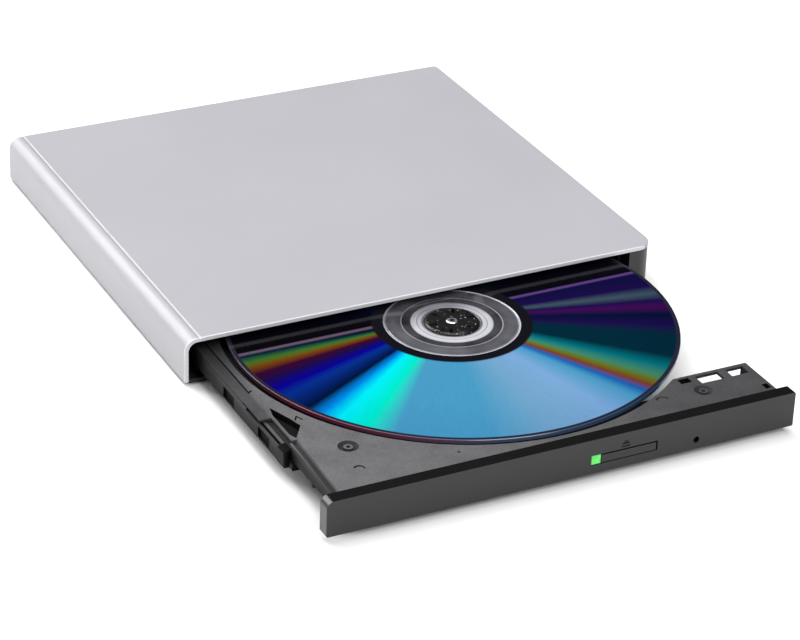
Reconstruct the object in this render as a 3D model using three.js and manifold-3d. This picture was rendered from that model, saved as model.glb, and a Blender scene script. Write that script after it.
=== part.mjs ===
// External slim optical drive (DVD writer class), drawer open, one 120 mm disc on the hub.
// Millimetres, +Z up. The row is modelled with y = 0 on the front plane of the case
// (+Y towards the rear, the drawer travels along -Y), x = 0 on the centre of the case and
// z = 0 on the desk. The exported group is then moved so that its origin is the middle of
// the footprint of the whole drive with the drawer open.
import * as THREE from 'three';
import { mergeVertices } from 'three/addons/utils/BufferGeometryUtils.js';
import Module from 'manifold-3d';

const wasm = await Module();
wasm.setup();

// ---------------------------------------------------------------- driving dimensions
const CASE_W = 140.4;          // width of the case
const CASE_D = 133.0;          // depth of the case
const CASE_TOP = 13.4;         // height of the top face above the desk
const FOOT_H = 0.6;            // height of the rubber feet
const COVER_T = 1.1;           // top cover plate
const COVER_R = 3.7;           // folded left edge, outer radius
const COVER_WALL = 1.2;        // left wall of the cover
const PLAN_R = 5.0;            // front right corner in plan
const HX = CASE_W / 2;

const TRAY_OUT = 82.6;         // how far the drawer stands open
const RAIL_OUT = 62.5;         // how far the rails stand open
const BEZEL_Y0 = -82.8;        // front face of the bezel, drawer open
const BEZEL_T = 3.7;
const BEZEL_X0 = -68.8, BEZEL_X1 = 62.0;
const BEZEL_Z0 = 2.3, BEZEL_Z1 = 12.0;

const SPX = -0.06, SPY = -13.8; // spindle axis
const DISC_R = 60, DISC_Z0 = 9.6, DISC_T = 1.2;
const WELL_R = 61.8, WELL_Z = 8.6;
const LAND_Z = 10.5;           // top of the drawer beside the disc
const TRAY_Z0 = 3.4;           // underside of the drawer
const FLOOR_Z = 8.0;           // underside of the drawer's deck

const CH_X0 = -68.4, CH_X1 = 61.6, CH_Y0 = 3.9, CH_Y1 = 130.1; // drive chassis
const CH_Z0 = 1.9, SHEET = 0.6, CH_WALL_TOP = 11.9;

const SLED_IN = 24, SLED_OUT = 58; // radius of the lens at either end of its travel
const SLED_ANGLE = 3 * Math.PI / 4; // heading of the sled's track from the spindle
const LATCH_OPEN = -0.1;       // latch lever swung clear, radians

// ---------------------------------------------------------------- helpers
const clean = (g) => {
  const c = g.index ? g.clone() : g.clone();
  for (const k of Object.keys(c.attributes)) if (k !== 'position') c.deleteAttribute(k);
  return mergeVertices(c, 1e-4);
};
const solid = (g) => {
  const m = clean(g);
  return new wasm.Manifold(new wasm.Mesh({
    numProp: 3,
    vertProperties: new Float32Array(m.attributes.position.array),
    triVerts: new Uint32Array(m.index.array),
  }));
};
const geom = (s) => {
  const m = s.getMesh();
  const g = new THREE.BufferGeometry();
  g.setAttribute('position', new THREE.BufferAttribute(new Float32Array(m.vertProperties), 3));
  g.setIndex(new THREE.BufferAttribute(new Uint32Array(m.triVerts), 1));
  g.computeVertexNormals();
  return g;
};
const cut = (a, ...bs) => bs.reduce((s, b) => s.subtract(b), a);
const join = (a, ...bs) => bs.reduce((s, b) => s.add(b), a);

const boxG = (x0, x1, y0, y1, z0, z1) => {
  const g = new THREE.BoxGeometry(x1 - x0, y1 - y0, z1 - z0);
  g.translate((x0 + x1) / 2, (y0 + y1) / 2, (z0 + z1) / 2);
  return g;
};
const box = (...a) => solid(boxG(...a));
const cylG = (x, y, z0, z1, r, n = 32) => {
  const g = new THREE.CylinderGeometry(r, r, z1 - z0, n);
  g.rotateX(Math.PI / 2);
  g.translate(x, y, (z0 + z1) / 2);
  return g;
};
const cyl = (...a) => solid(cylG(...a));
// round bar along X (from x0 to x1) and along Y
const rodXG = (x0, x1, y, z, r, n = 20) => {
  const g = new THREE.CylinderGeometry(r, r, x1 - x0, n);
  g.rotateZ(-Math.PI / 2);
  g.translate((x0 + x1) / 2, y, z);
  return g;
};
const rodYG = (x, y0, y1, z, r, n = 20) => {
  const g = new THREE.CylinderGeometry(r, r, y1 - y0, n);
  g.translate(x, (y0 + y1) / 2, z);
  return g;
};
// a plan outline raised from z0 to z1
const planG = (pts, z0, z1, curve = 8) => {
  const s = pts instanceof THREE.Shape ? pts : new THREE.Shape(pts.map((p) => new THREE.Vector2(p[0], p[1])));
  const g = new THREE.ExtrudeGeometry(s, { depth: z1 - z0, bevelEnabled: false, curveSegments: curve });
  g.translate(0, 0, z0);
  return g;
};
const plan = (...a) => solid(planG(...a));
// an XZ outline drawn from y0 to y1
const sideG = (s, y0, y1, curve = 8) => {
  const g = new THREE.ExtrudeGeometry(s, { depth: y1 - y0, bevelEnabled: false, curveSegments: curve });
  g.rotateX(Math.PI / 2);
  g.translate(0, y1, 0);
  return g;
};
// rectangle with its own radius at each corner: order x0y0, x1y0, x1y1, x0y1
const rrect = (x0, x1, y0, y1, r) => {
  const [a, b, c, d] = Array.isArray(r) ? r : [r, r, r, r];
  const s = new THREE.Shape();
  s.moveTo(x0 + a, y0);
  s.lineTo(x1 - b, y0);
  if (b) s.absarc(x1 - b, y0 + b, b, -Math.PI / 2, 0, false);
  s.lineTo(x1, y1 - c);
  if (c) s.absarc(x1 - c, y1 - c, c, 0, Math.PI / 2, false);
  s.lineTo(x0 + d, y1);
  if (d) s.absarc(x0 + d, y1 - d, d, Math.PI / 2, Math.PI, false);
  s.lineTo(x0, y0 + a);
  if (a) s.absarc(x0 + a, y0 + a, a, Math.PI, 1.5 * Math.PI, false);
  return s;
};
const lathe = (pts, n = 48) => {
  const g = new THREE.LatheGeometry(pts.map((p) => new THREE.Vector2(p[0], p[1])), n);
  g.rotateX(Math.PI / 2);
  return g;
};

const mat = (color, roughness, metalness = 0) => new THREE.MeshStandardMaterial({ color, roughness, metalness });
const SILVER = mat(0xc8c7cd, 0.42, 0.25);
const DARK = mat(0x3c3c3e, 0.55);
const BEZEL = mat(0x4a4a4c, 0.42);
const TRAY = mat(0x55565a, 0.6);
const BLACK = mat(0x141415, 0.5);
const RUBBER = mat(0x1c1c1e, 0.9);
const STEEL = mat(0xa9abad, 0.35, 0.9);
const BRIGHT = mat(0xd4d5d8, 0.2, 1.0);
const PCB = mat(0x1d5a34, 0.6);
const CHIP = mat(0x18181a, 0.5);
const NYLON = mat(0xd9d6cc, 0.6);
const LED = mat(0x57d75f, 0.3);
const COPPER = mat(0xb06a3a, 0.4, 0.8);
const FLEX = mat(0xd8cfae, 0.5);
const DISC = mat(0x3a94c4, 0.15, 0.8);
const GLASS = mat(0x9db8d8, 0.1, 0.1);

const root = new THREE.Group();
const add = (name, g, m, parent = root) => {
  const mesh = new THREE.Mesh(g instanceof THREE.BufferGeometry ? g : geom(g), m);
  mesh.name = name;
  parent.add(mesh);
  return mesh;
};

// ================================================================ case
// plan outline of the case: square at the left, rounded at the front right corner
const casePlan = () => rrect(-HX, HX, 0, CASE_D, [0, PLAN_R, 1.2, 0]);

// top cover: one plate folded down along its left edge like the spine of a book
{
  const s = new THREE.Shape();
  const zi = CASE_TOP - COVER_T, ri = COVER_R - COVER_WALL;
  s.moveTo(-HX, 0.9);
  s.lineTo(-HX + COVER_WALL, 0.9);
  s.lineTo(-HX + COVER_WALL, zi - ri);
  s.absarc(-HX + COVER_WALL + ri, zi - ri, ri, Math.PI, Math.PI / 2, true);
  s.lineTo(HX, zi);
  s.lineTo(HX, CASE_TOP);
  s.lineTo(-HX + COVER_R, CASE_TOP);
  s.absarc(-HX + COVER_R, CASE_TOP - COVER_R, COVER_R, Math.PI / 2, Math.PI, false);
  let c = solid(sideG(s, 0, CASE_D, 8)).intersect(plan(casePlan(), 0, 20));
  // two bosses for the screws in the right-hand bay
  for (const y of [16, 104]) {
    c = join(c, cyl(65.3, y, 3.6, zi + 0.3, 2.5, 20));
    c = cut(c, cyl(65.3, y, 3.0, 10.4, 1.15, 16));
  }
  add('top_cover', c, SILVER);
}

// bottom case: floor, right wall, rear wall and the rounded pillar at the front right
{
  const z1 = CASE_TOP - COVER_T - 0.1;
  const outer = plan(rrect(-HX + COVER_WALL + 0.2, HX, 0.2, CASE_D, [0, PLAN_R, 1.2, 0]), FOOT_H, z1);
  const well = plan(rrect(-HX - 5, HX - 1.3, -5, CASE_D - 1.3, 0), 1.6, 20);
  // the top left corner of the rear wall is eased to clear the fold of the cover
  let c = cut(outer, well, plan([[-HX, 120], [-66.2, 120], [-66.2, 140], [-HX, 140]], 9.6, 20));
  const pillar = plan(rrect(62.3, HX, 0.2, 9.0, [0, PLAN_R, 0, 0]), FOOT_H, z1);
  const pillarHollow = box(63.6, HX - 1.4, 3.2, 12, 1.6, 20);
  c = join(c, cut(pillar, pillarHollow));
  // screw pads in the right bay, counterbored from below
  for (const y of [16, 104]) {
    c = join(c, cyl(65.3, y, 1.0, 3.3, 3.2, 20));
    c = cut(c, cyl(65.3, y, 0.3, 2.1, 2.3, 20), cyl(65.3, y, 0.3, 5, 1.2, 16));
  }
  // counterbored holes for the two screws that hold the drive
  for (const y of [22, 112]) c = cut(c, cyl(-58, y, 0.3, 1.25, 2.3, 20), cyl(-58, y, 0.3, 3, 1.15, 16));
  // window for the USB socket in the rear wall
  c = cut(c, box(53.9, 62.1, 130, 135, 4.0, 7.3));
  add('bottom_case', c, DARK);
}

for (const [n, x, y] of [['foot_front_left', -60, 12], ['foot_front_right', 58, 12], ['foot_rear_left', -60, 121], ['foot_rear_right', 58, 121]]) {
  add(n, cylG(x, y, 0, FOOT_H, 4.5, 24), RUBBER);
}
for (const [n, y] of [['case_screw_front', 16], ['case_screw_rear', 104]]) {
  add(n, cut(join(cyl(65.3, y, 0.9, 2.05, 2.0, 20), cyl(65.3, y, 1.5, 9.0, 1.0, 14)), box(64.1, 66.5, y - 0.22, y + 0.22, 0.5, 1.3), box(65.08, 65.52, y - 1.2, y + 1.2, 0.5, 1.3)), STEEL);
}
for (const [n, y] of [['drive_screw_front', 22], ['drive_screw_rear', 112]]) {
  add(n, cut(join(cyl(-58, y, 0.7, 1.2, 2.0, 20), cyl(-58, y, 1.0, 2.45, 0.9, 14)), box(-59.1, -56.9, y - 0.2, y + 0.2, 0.5, 0.95), box(-58.2, -57.8, y - 1.1, y + 1.1, 0.5, 0.95)), STEEL);
}

// ================================================================ bare drive: sheet metal and fixed parts
{
  const z1 = CH_WALL_TOP, zf = CH_Z0 + SHEET;
  let c = box(CH_X0, CH_X1, CH_Y0, CH_Y1, CH_Z0, z1);
  c = cut(c, box(CH_X0 + 0.5, CH_X1 - 0.5, CH_Y0 - 5, CH_Y1 - SHEET, zf, 20));
  // rear right corner is notched for the USB board
  c = cut(c, box(49.4, 70, 117.4, 140, 1, 20));
  c = join(c, box(48.9, 49.4, 117.4, CH_Y1, CH_Z0, z1), box(48.9, CH_X1, 116.9, 117.4, CH_Z0, z1));
  // stand-offs under the main board
  for (const [x, y] of [[47.5, 26], [58, 26], [47.5, 112], [58, 112]]) c = join(c, cyl(x, y, 2.2, 3.2, 1.6, 16));
  for (const y of [22, 112]) c = cut(c, cyl(-58, y, 1, 3, 1.05, 14));
  // the left wall stops below the fold of the cover
  c = cut(c, box(-70, -66.4, 0, 140, 11.1, 13));
  // long slots that lighten the floor
  c = cut(c, plan(rrect(-52, -20, 60, 66, 2.9), 1, 3), plan(rrect(-52, -20, 74, 80, 2.9), 1, 3));
  add('drive_chassis', c, STEEL);
}
{
  // lid of the drive, tucked 2.6 mm behind the front of the case
  let c = box(-66.3, CH_X1, 4.5, CH_Y1, 11.95, 12.25);
  c = cut(c, box(48.9, 70, 116.9, 140, 11, 13));
  add('chassis_lid', c, BLACK);
}
{
  // left guide: a floor strip under the rail and an outer wall beside it
  const s = join(box(-67.85, -65.2, 6, 128, 2.5, 3.2), box(-67.85, -66.8, 6, 128, 3.0, 10.1), box(-67.2, -65.2, 6, 128, 3.0, 4.6));
  add('rail_guide_left', s, BLACK);
}
{
  let s = join(box(41.2, 44.0, 22, 128, 2.5, 3.5), box(42.9, 44.0, 22, 128, 3.3, 8.6));
  s = cut(s, box(40, 46, 79, 93, 2.3, 3.0));
  add('rail_guide_right', s, NYLON);
}
add('main_board', boxG(44.8, 60.6, 22, 115, 3.2, 4.2), PCB);
add('controller_chip', boxG(47.5, 58.5, 52, 63, 4.2, 5.4), CHIP);
add('motor_driver_chip', boxG(49.5, 56.5, 72, 79, 4.2, 5.2), CHIP);
add('board_connector', join(box(44.9, 48.0, 80, 92, 4.2, 5.7), box(44.9, 45.4, 79, 93, 4.2, 5.0)), NYLON);
add('usb_board', cut(box(50.2, 68.4, 118.2, 131.4, 3.2, 4.0), box(63, 70, 117, 121, 3, 5)), PCB);
{
  // micro-USB socket: a folded shell with a tongue inside
  let s = box(54.2, 61.8, 126.6, 132.7, 4.05, 7.0);
  s = cut(s, box(54.5, 61.5, 127.2, 134, 4.35, 6.7));
  s = join(s, box(55.6, 60.4, 126.9, 131.8, 5.1, 5.6));
  add('usb_socket', s, STEEL);
}
{
  // flat flexible cable: fixed run on the chassis floor, one fold, free run to the drawer
  let s = box(10, 22, 24, 92, 2.55, 2.65);
  s = join(s, box(20, 44.5, 80, 92, 2.55, 2.65), box(44.4, 44.5, 80, 92, 2.55, 4.9));
  s = join(s, box(10, 22, 24, 24.1, 2.55, 2.9), box(10, 22, 24, 45.6, 2.8, 2.9), box(10, 22, 45.5, 45.6, 2.8, 6.0));
  add('flex_cable', s, FLEX);
}
// ejector that pushes the closed drawer out, shown pressed in against the chassis
add('ejector_housing', cut(box(-30, -20, 126.9 + 1.2, 129.3, 2.6, 8.6), box(-28.9, -21.1, 120, 129.0, 3.6, 7.6)), NYLON);
{
  // latch post that the drawer's latch catches when it is closed
  add('latch_post', join(cyl(50, 11, 2.5, 3.0, 1.6, 20), cyl(50, 11, 2.9, 5.6, 1.0, 20)), STEEL);
}

// ================================================================ slide rails
{
  // a flat bar on edge; its front stretch is wider and carries a raised inner land
  let s = join(box(-66.6, -65.6, -50, 62, 4.8, 9.35), box(-66.0, -64.6, -50, -29.5, 6.4, 9.3));
  s = cut(s, box(-67, -65.85, -50.5, -31, 8.75, 10), box(-65.9, -65.55, -50.5, -31, 8.2, 10));
  // two slots in the outer face of the exposed stretch, a long relief further back
  for (const [a, b] of [[-23.4, -16.8], [-45.0, -38.2]]) s = cut(s, box(-67, -65.95, a, b, 5.3, 8.2));
  s = cut(s, box(-67, -66.1, 10, 56, 6.0, 8.0));
  add('slide_rail_left', s, TRAY);
  // black stop that closes the front end of the rail, rounded in plan at its front
  const e = rrect(-66.7, -64.6, -54, -50.0, [0.45, 1.4, 0, 0]);
  add('rail_stop_left', cut(plan(e, 4.75, 9.4, 8), box(-70, -66.2, -55, -49, 8.9, 10)), BLACK);
}
{
  let s = box(41.0, 42.6, -42, 62, 3.8, 8.0);
  s = cut(s, box(41.9, 43, -30, 56, 5.2, 6.6));
  add('slide_rail_right', s, TRAY);
}

// ================================================================ drawer
// plan outline of the drawer's body, its right side cut back under the disc
const trayOutline = (i, overhang) => [
  [-64.4 + i, -79.0 + i], [60.0 - i, -79.0 + i], [60.0 - i, -62.4 - i], [38.3 + 0.3 * i, -62.4 - i],
  [31.2 - 0.2 * i, -66.8 - i], [26.2 - i * 0.8, -66.2 - i * 0.4], [25.0 - i, -58 + i * 0.2], [32 - i * 0.9, -50 + i * 0.5], [40.4 - i, -42 + i * 0.4],
  [40.4 - i, 45.2 - i], [-64.4 + i, 45.2 - i],
];
const local = (u, v) => [SPX + u * Math.cos(SLED_ANGLE) - v * Math.sin(SLED_ANGLE), SPY + u * Math.sin(SLED_ANGLE) + v * Math.cos(SLED_ANGLE)];
const DAMPERS = [[-14.5, -15.2], [-14.5, 15.2], [49, -16.2]];
{
  let s = plan(trayOutline(0), TRAY_Z0, LAND_Z);
  // rim above the left rail, thinner along its front stretch
  s = join(s, box(-66.6, -64.0, -28.8, 45.2, 9.5, LAND_Z), box(-66.6, -64.0, -39.5, -28.8, 10.0, LAND_Z));
  // underside is hollow
  s = cut(s, plan(trayOutline(1.3), 2, FLOOR_Z));
  // front left: only the upper flange reaches the side, the body below is set back
  s = cut(s, box(-66, -62.0, -80, -54, 2, 6.3));
  s = join(s, box(-62.0, -60.7, -79, -53, TRAY_Z0, FLOOR_Z + 0.2), box(-64.4, -60.7, -54, -52.7, TRAY_Z0, FLOOR_Z + 0.2));
  // a cross wall keeps the front bay apart from the mechanism
  s = join(s, plan([[-63.5, -64.2], [24.5, -64.2], [24.5, -63.2], [-63.5, -63.2]], 4.2, FLOOR_Z + 0.2));
  // posts for the dampers
  for (const [u, v] of DAMPERS) {
    const [x, y] = local(u, v);
    s = join(s, cyl(x, y, 6.8, FLOOR_Z + 0.4, 2.2, 20));
    s = cut(s, cyl(x, y, 6, 8.2, 1.05, 14));
  }
  // disc well
  s = cut(s, cyl(SPX, SPY, WELL_Z, 14, WELL_R, 96));
  // window for the spindle and the sled
  const w = [[-17, -14.8], [67.5, -14.8], [67.5, 14.8], [-17, 14.8]].map(([u, v]) => local(u, v));
  s = cut(s, plan(w, 3, 9.0));
  // wing: thin deck with two windows and no skirt behind them, a deep square socket and a deep slot
  s = cut(s, box(43.2, 58.7, -68.4, -61, 2, 9.7));
  s = cut(s, box(44.0, 50.7, -67.2, -63.5, 3, 12), box(53.1, 58.2, -67.1, -63.6, 3, 12));
  s = join(s, box(38.0, 43.2, -66.4, -62.5, 4.6, FLOOR_Z + 0.2), box(56.8, 59.5, -76.8, -72.9, 5.2, FLOOR_Z + 0.2));
  s = cut(s, box(38.9, 42.0, -65.5, -63.3, 5.4, 12), box(57.6, 59.2, -76.0, -73.7, 6.0, 12));
  // channel for the latch post
  s = cut(s, box(48.3, 51.7, -70, -60, 3, 6.4));
  // dished bosses with a pierced pip in the middle
  for (const [x, y, r] of [[-52, -59.2, 2.7], [42.4, -70.3, 2.5]]) {
    const dish = solid(lathe([[0, 12], [0, 9.7], [r - 0.9, 9.7], [r, 10.55], [r, 12], [0, 12]], 28)).translate([x, y, 0]);
    s = cut(s, dish);
    s = join(s, cyl(x, y, 9.5, 10.35, 1.2, 24));
    s = cut(s, cyl(x, y, 9.0, 12, 0.55, 16));
  }
  // crescent and pin mark left by the mould
  {
    const ring = cut(cyl(30.3, -70.7, 9.8, 12, 1.9, 32), cyl(30.3, -70.7, 9, 13, 1.35, 32));
    s = cut(s, ring.intersect(plan([[30.3, -70.7], [34, -70.2], [34, -66], [27, -66], [28.2, -69.6]], 9, 13)), cyl(-28.5, -72.3, 10.0, 12, 0.45, 14));
  }
  // left rim: long slit with a hooked end
  const slit = (x0, y0, x1, y1, w, z) => {
    const g = boxG(0, Math.hypot(x1 - x0, y1 - y0), -w / 2, w / 2, z, 12);
    g.rotateZ(Math.atan2(y1 - y0, x1 - x0));
    g.translate(x0, y0, 0);
    return solid(g);
  };
  s = cut(s, slit(-63.75, 44.5, -63.75, -26.4, 0.4, 9.8), slit(-63.95, -26.2, -62.7, -25.3, 0.5, 9.8));
  // ledge beside the wide end of the rail, and the three-sided pocket behind its ridge
  s = cut(s, box(-65, -63.55, -52.4, -39.5, 9.3, 12));
  s = cut(s, plan([[-62.0, -34.9], [-62.8, -38.5], [-62.8, -48.5], [-62.0, -50.9], [-58.5, -45.7], [-59.6, -41.5]], 8.7, 12));
  s = cut(s, slit(-58.7, -43.0, -57.6, -41.2, 0.4, 9.9), slit(-57.7, -41.2, -56.8, -43.4, 0.4, 9.9));
  // valley between the side bar and the deck
  {
    const v = new THREE.Shape([[-0.85, 10.6], [-0.75, 10.3], [-0.35, 9.75], [0.0, 9.5], [0.35, 9.55], [0.75, 9.95], [1.15, 10.6]].map((q) => new THREE.Vector2(q[0], q[1])));
    const g = sideG(v, -79.5, -51.4);
    const p = g.attributes.position;
    for (let i = 0; i < p.count; i++) p.setX(i, p.getX(i) - 63.1 + (p.getY(i) + 51.4) * 0.035);
    s = cut(s, solid(g));
  }
  // front wall openings for the switch, the light pipe and the emergency pin
  s = cut(s, box(1.5, 24, -80, -77, 4.4, 7.9), box(32.0, 34.2, -80, -77, 4.0, 6.0));
  add('tray', s, TRAY);
}
{
  // outline drawn in plan, then stood up in the XZ plane
  const m = new THREE.Matrix4().makeRotationX(Math.PI / 2);
  const g = planG(rrect(BEZEL_X0, BEZEL_X1, BEZEL_Z0, BEZEL_Z1, [0.5, 0.4, 0.4, 2.0]), 0, BEZEL_T, 6);
  g.applyMatrix4(m);
  g.translate(0, BEZEL_Y0 + BEZEL_T, 0);
  let s = solid(g);
  s = cut(s, box(BEZEL_X0 + 1.4, BEZEL_X1 - 1.4, BEZEL_Y0 + 1.6, BEZEL_Y0 + 8, BEZEL_Z0 + 1.3, BEZEL_Z1 - 1.6));
  s = cut(s, box(2.8, 21.75, BEZEL_Y0 - 1, BEZEL_Y0 + 3, 4.75, 7.5));
  s = cut(s, solid(rodYG(33.1, BEZEL_Y0 - 1, BEZEL_Y0 + 3, 5.0, 0.85, 20)));
  add('bezel', s, BEZEL);
}
add('led_light_pipe', join(box(2.95, 5.55, BEZEL_Y0 + 0.05, -78.3, 4.9, 7.35), box(2.95, 5.55, -80.9, -80.2, 4.2, 8.4)), LED);
add('front_board', box(-2, 26, -77.5, -76.7, 4.0, 7.8), PCB);
add('eject_switch', join(box(11.5, 16.0, -79.0, -77.55, 5.0, 7.3), solid(rodYG(13.75, -79.1, -78.8, 6.1, 0.8, 16))), CHIP);
{
  // button cap with a retaining flange and a stem that meets the switch
  const s = join(box(5.8, 21.45, BEZEL_Y0 + 0.1, -80.4, 4.85, 7.1), box(6.1, 22.6, -81.1, -80.3, 4.3, 7.95), box(12.6, 14.9, -80.5, -79.85, 5.2, 7.0));
  add('eject_button', s, BEZEL);
}
{
  let s = plan([[-61.4, -60], [22.5, -60], [30.5, -50], [39.4, -41.5], [39.4, 44.4], [-64.2, 44.4], [-64.2, -53.2], [-61.4, -53.2]], 3.0, TRAY_Z0);
  for (const [u, v] of DAMPERS) { const [x, y] = local(u, v); s = cut(s, cyl(x, y, 2, 4, 2.6, 20)); }
  s = cut(s, plan(rrect(8, 24, 43.4, 46, 0), 2, 5));
  add('tray_bottom_cover', s, STEEL);
}
add('latch_solenoid', join(box(36.2, 42.6, -73.0, -68.8, 3.7, 7.6), box(35.2, 43.6, -70.8, -69.6, 3.9, 7.2)), COPPER);

// ---------------------------------------------------------------- traverse (turned 135 degrees)
const tv = new THREE.Group();
tv.position.set(SPX, SPY, 0);
tv.rotation.z = SLED_ANGLE;
root.add(tv);
{
  let s = plan([[-19, -19], [52, -19], [56, -12], [67.8, -12], [67.8, 13.3], [58, 13.3], [58, 18.6], [-19, 18.6]], 3.6, 4.4);
  s = cut(s, box(15.2, 66.0, -9, 9, 3, 5));
  for (const [u, v] of DAMPERS) s = cut(s, cyl(u, v, 3, 5, 1.3, 16));
  for (const v of [-10.5, 10.5]) for (const [a, b] of [[12.4, 14.2], [66.0, 67.6]]) s = join(s, box(a, b, v - 1.4, v + 1.4, 4.2, 7.2));
  add('traverse_base', s, STEEL, tv);
}
DAMPERS.forEach(([u, v], i) => {
  add(`damper_${i + 1}`, cut(cut(cyl(u, v, 4.45, 6.75, 2.4, 16), cyl(u, v, 4, 8, 1.15, 12)), cut(cyl(u, v, 5.3, 5.9, 4, 16), cyl(u, v, 5, 6, 1.9, 16))), RUBBER, tv);
  add(`damper_screw_${i + 1}`, join(cyl(u, v, 3.0, 3.55, 2.1, 20), cyl(u, v, 3.4, 8.0, 0.9, 14)), STEEL, tv);
});
add('guide_rod_main', rodXG(14.3, 65.9, 10.5, 6.0, 1.0, 16), BRIGHT, tv);
add('guide_rod_sub', rodXG(14.3, 65.9, -10.5, 6.0, 1.0, 16), BRIGHT, tv);
add('sled_motor', join(solid(rodXG(59.2, 66.4, 16, 5.85, 1.95, 24)), box(60.5, 65, 15, 17, 3.75, 5)), STEEL, tv);
add('sled_motor_bracket', cut(box(57.2, 57.9, 13.7, 18.4, 4.45, 7.8), solid(rodXG(56, 59, 16, 5.85, 1.25, 16))), STEEL, tv);
add('lead_screw_bearing', box(15.6, 16.9, 14.2, 17.8, 4.45, 7.6), NYLON, tv);
{
  // lead screw: a shaft with a row of thread crests
  const pts = [[0, 17.1], [0.75, 17.1], [0.75, 19]];
  for (let z = 19; z < 55.4; z += 3) { pts.push([1.2, z + 0.9], [1.2, z + 1.7], [0.8, z + 2.6]); }
  pts.push([0.8, 56.8], [0.8, 59.0], [0, 59.0]);
  const g = lathe(pts, 10);
  g.rotateY(Math.PI / 2);
  g.translate(0, 16, 5.85);
  add('lead_screw', g, BRIGHT, tv);
}
{
  // sled with its lens at the inner end of the travel
  let s = join(box(SLED_IN - 7.5, SLED_IN + 7.5, -8.6, 8.6, 3.9, 8.2), box(SLED_IN - 7.5, SLED_IN + 7.5, -13, 13, 4.6, 7.6));
  for (const v of [-10.5, 10.5]) s = cut(s, solid(rodXG(SLED_IN - 9, SLED_IN + 9, v, 6.0, 1.25, 16)));
  s = cut(s, box(SLED_IN - 5.2, SLED_IN + 5.2, -6.2, 6.2, 6.5, 9));
  s = cut(s, box(SLED_IN - 3.5, SLED_IN + 3.5, -14, -11.8, 5, 7));
  add('pickup_sled', s, BLACK, tv);
  add('sled_nut', join(box(SLED_IN - 7, SLED_IN - 2, 13.05, 14.55, 4.9, 6.9), box(SLED_IN - 6, SLED_IN - 3, 13.05, 14.2, 4.7, 7.5)), NYLON, tv);
  add('lens_holder', cut(box(SLED_IN - 4.4, SLED_IN + 4.4, -5.2, 5.2, 7.0, 8.1), box(SLED_IN - 5, SLED_IN - 3, -2, 2, 6.6, 9), box(SLED_IN + 3, SLED_IN + 5, -2, 2, 6.6, 9)), NYLON, tv);
  const g = lathe([[0, 8.12], [2.2, 8.12], [2.2, 8.3], [1.8, 8.55], [1.0, 8.7], [0, 8.75]], 24);
  g.translate(SLED_IN, 0, 0);
  add('lens', g, GLASS, tv);
}
{
  let s = plan([[-17.5, -19.5], [47, -20], [56, -15], [56, 15], [47, 20], [-17.5, 19.5]], WELL_Z, WELL_Z + 0.3);
  s = cut(s, cyl(0, 0, 8, 10, 15.6, 48), box(14, 62, -7, 7, 8, 10));
  add('traverse_cover', s, STEEL, tv);
}
add('spindle_stator', lathe([[2.0, 4.4], [9.4, 4.4], [9.4, 6.6], [7.6, 6.8], [2.0, 6.8], [2.0, 4.4]], 36), COPPER, tv);

// ---------------------------------------------------------------- spindle, hub and disc
const sp = new THREE.Group();
sp.position.set(SPX, SPY, 0);
root.add(sp);
add('spindle_rotor', lathe([[0, 4.5], [1.6, 4.5], [1.6, 7.1], [10.2, 7.1], [10.2, 5.2], [11.4, 5.2], [11.4, 7.7], [8, 8.1], [14.0, 8.5], [14.0, 9.1], [7.9, 9.1], [7.9, 8.9], [1.6, 8.9], [1.6, 11.3], [1.2, 11.5], [0, 11.5]], 32), STEEL, sp);
add('turntable_pad', lathe([[9.6, 9.15], [13.9, 9.15], [13.9, 9.55], [9.6, 9.55], [9.6, 9.15]], 32), RUBBER, sp);
{
  // snap-in hub: a crown with six slots and three sprung claws in its rim
  let s = solid(lathe([[1.9, 8.95], [7.1, 8.95], [7.2, 9.9], [7.35, 10.95], [6.9, 11.35], [1.9, 11.35], [1.9, 8.95]], 36));
  for (let k = 0; k < 6; k++) {
    const a = k * Math.PI / 3, c = Math.cos(a), d = Math.sin(a);
    const q = (x, y) => [x * c - y * d, x * d + y * c];
    s = cut(s, plan([q(4.4, -0.35), q(6.6, -0.35), q(6.6, 0.35), q(4.4, 0.35)], 10.0, 13));
  }
  add('hub_cap', s, BLACK, sp);
}
add('disc', lathe([[7.5, DISC_Z0], [DISC_R, DISC_Z0], [DISC_R, DISC_Z0 + DISC_T], [7.5, DISC_Z0 + DISC_T], [7.5, DISC_Z0]], 120), DISC, sp);

// ---------------------------------------------------------------- latch
{
  const g = new THREE.Group();
  g.position.set(54, -75.9, 0);
  g.rotation.z = LATCH_OPEN;
  root.add(g);
  // lever about its pin: a long arm to the left, a claw arm towards the rear
  let s = plan([[-22.5, -0.9], [1.2, -0.9], [1.2, 1.2], [-0.6, 1.9], [-0.6, 6.9], [-3.6, 6.9], [-3.6, 5.8], [-2.1, 5.6], [-2.0, 0.9], [-22.5, 0.3]], 4.2, 5.4);
  s = join(s, cyl(0, 0, 4.2, 7.6, 1.5, 20));
  s = cut(s, cyl(0, 0, 3, 9, 0.75, 16));
  add('latch_lever', s, NYLON, g);
  add('latch_pin', cylG(54, -75.9, 3.6, 7.95, 0.6, 16), STEEL);
}
add('emergency_slider', join(box(32.5, 33.7, -78.8, -75.5, 4.4, 5.6), box(32.3, 33.9, -76.6, -75.9, 4.2, 5.8)), NYLON);

// middle of the footprint to the origin
root.position.set(0, -(CASE_D + BEZEL_Y0) / 2, 0);

export default root;
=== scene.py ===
import bpy, bmesh, math
from mathutils import Vector, Matrix

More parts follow.
